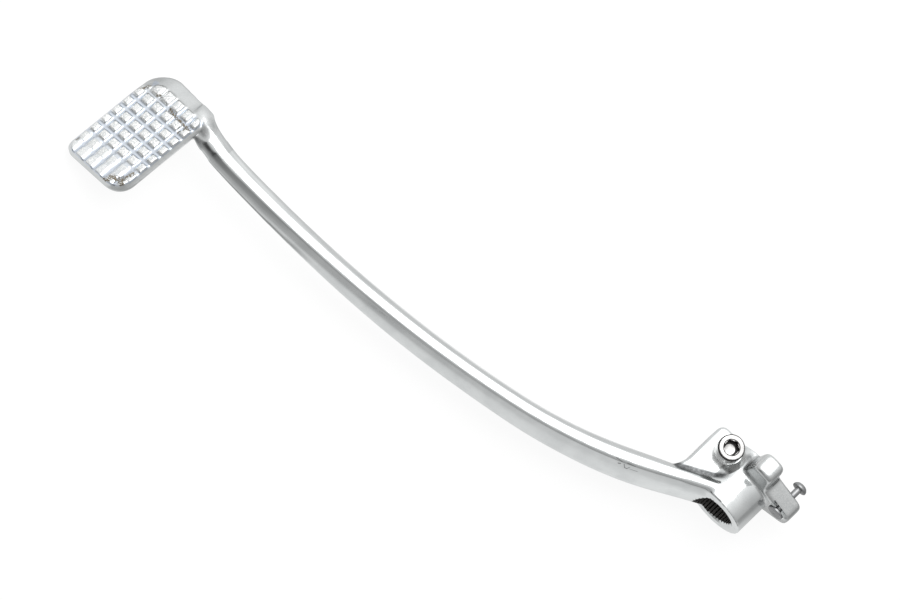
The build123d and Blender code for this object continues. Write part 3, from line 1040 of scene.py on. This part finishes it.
def white_floor():
    """Pale floor that shows white to the eye and keeps a soft shadow; to the metal it glows in
    greys with light and shadow painted in: bands beside the arm, a fade rearward and a dark spot
    by the pad."""
    material, nodes, shader = new_finish("white_sweep")
    nodes.fit(shader, Base_Color=FLOOR_WHITE, Roughness=0.9, Specular_IOR_Level=0.0)
    place = nodes.place()

    def across(direction, stops):
        """Share of light along a direction, from stops of place in metres and share."""
        run = nodes.spread(nodes.vectors("DOT_PRODUCT", place, direction), -FLOOR_RUN, FLOOR_RUN,
                           0.0, 1.0)
        return nodes.levels(run, [(0.5 + spot / (2 * FLOOR_RUN), share) for spot, share in stops])

    light = nodes.blend(1.0, across((-0.2, 1, 0), BESIDE_ARM), across((1, 0, 0), REARWARD),
                        "MULTIPLY")
    # Painted shadow: a dim spot on the floor by the pad
    pad_shadow = nodes.spread(nodes.vectors("DISTANCE", place, PAD_SHADOW_SPOT), 0.022, 0.05, 0.45, 1.0,
                          "SMOOTHSTEP")
    grey = nodes.blend(nodes.scaled(light, pad_shadow), BLACK, FLOOR_WHITE)
    lit = nodes.add("Emission", Color=grey, Strength=0.97).outputs["Emission"]
    dull = nodes.add("BsdfDiffuse", Color=grey).outputs["BSDF"]
    to_metal = nodes.either(0.25, lit, dull)
    glow = nodes.add("Emission", Color=WHITE, Strength=1.03).outputs["Emission"]
    to_eye = nodes.either(0.88, shader.outputs["BSDF"], glow)

    path = nodes.add("LightPath").outputs
    surface = nodes.either(path["Is Glossy Ray"], shader.outputs["BSDF"], to_metal)
    surface = nodes.either(path["Is Camera Ray"], surface, to_eye)
    nodes.feed(material.node_tree.nodes["Material Output"].inputs["Surface"], surface)
    return material


def build_studio():
    """Studio round the part: bright overhead and on the inner side, dimmer by the outer side,
    with one dark patch that draws the streak along the arm."""
    world = bpy.data.worlds.new("studio")
    bpy.context.scene.world = world
    world.use_nodes = True
    nodes = Nodes(world.node_tree)
    direction = nodes.add("TexCoord").outputs["Generated"]
    facing = nodes.vectors("DOT_PRODUCT", direction, WALLS_TOWARDS)
    walls = nodes.levels(nodes.maths("MULTIPLY_ADD", facing, 0.5, 0.5), WALL_LEVELS, "B_SPLINE")
    shade = nodes.levels(nodes.vectors("DOT_PRODUCT", direction, SHADE_TOWARDS), SHADE_LEVELS,
                         "B_SPLINE")
    white = (1 / BRIGHTEST, 1 / BRIGHTEST, 1 / BRIGHTEST, 1)
    seen = nodes.add("LightPath").outputs["Is Camera Ray"]
    room = nodes.blend(seen, nodes.vectors("MULTIPLY", walls, shade), white)
    nodes.fit(world.node_tree.nodes["Background"], Color=room, Strength=BRIGHTEST)


def build_stage():
    """White floor under the part, and the soft light round it."""
    bm = bmesh.new()
    bmesh.ops.create_grid(bm, x_segments=1, y_segments=1, size=3.0)
    bmesh.ops.translate(bm, verts=bm.verts, vec=(0, 0, FLOOR_Z))
    floor = mesh_object("floor", bm)
    floor.data.materials.append(white_floor())
    build_studio()
    light = bpy.data.lights.new("top_light", "AREA")
    light.size = 1.3
    light.energy = 10.0
    lamp = bpy.data.objects.new("top_light", light)
    lamp.location = LAMP_PLACE
    lamp.rotation_mode = "QUATERNION"
    lamp.rotation_quaternion = (LAMP_AIM - LAMP_PLACE).to_track_quat("-Z", "Y")
    bpy.context.scene.collection.objects.link(lamp)


def build_camera():
    """Long lens, tilted 16.5 degrees to the outer side, rolled so that the pad is top left."""
    right = Vector((0.6947, 0.6898, 0.2043)).normalized()
    back = Vector((0, -0.284, 0.959)).normalized()
    up = back.cross(right).normalized()
    data = bpy.data.cameras.new("camera")
    data.sensor_width = SENSOR
    data.lens = SENSOR * CAMERA_DISTANCE / VIEW_WIDTH
    data.clip_start, data.clip_end = 0.1, 40.0
    camera = bpy.data.objects.new("camera", data)
    camera.rotation_mode = "QUATERNION"
    camera.rotation_quaternion = Matrix((right, up, back)).transposed().to_quaternion()
    camera.location = VIEW_CENTRE + back * CAMERA_DISTANCE
    bpy.context.scene.collection.objects.link(camera)
    bpy.context.scene.camera = camera


bpy.context.scene.view_settings.view_transform = "Standard"

plate = metal("chrome_plate", (0.79, 0.812, 0.813), (0.73, 0.752, 0.755), (0.07, 0.17),
              0.012, 0.0012, forging_marks)
steel = metal("plated_steel", (0.50, 0.495, 0.49), (0.38, 0.375, 0.37), (0.22, 0.38),
              0.004, 0.004)
turned = metal("turned_steel", (0.42, 0.425, 0.43), (0.30, 0.305, 0.31), (0.30, 0.42),
               0.003, 0.003)
# Near-black material that paints shade in the bore, the socket and on the head's broken edges
shade_black = painted_shade_black()

build_forging(plate, shade_black)
screw_body = screw()
# The socket and the head's broken edges take the near-black painted shade
shade_faces(screw_body, in_socket)
finished("pinch_screw_turned", screw_body, [steel, shade_black], "pinch_screw", 30)
finished("spring_post_turned", post(), [turned], "spring_post", 30)
build_stage()
build_camera()
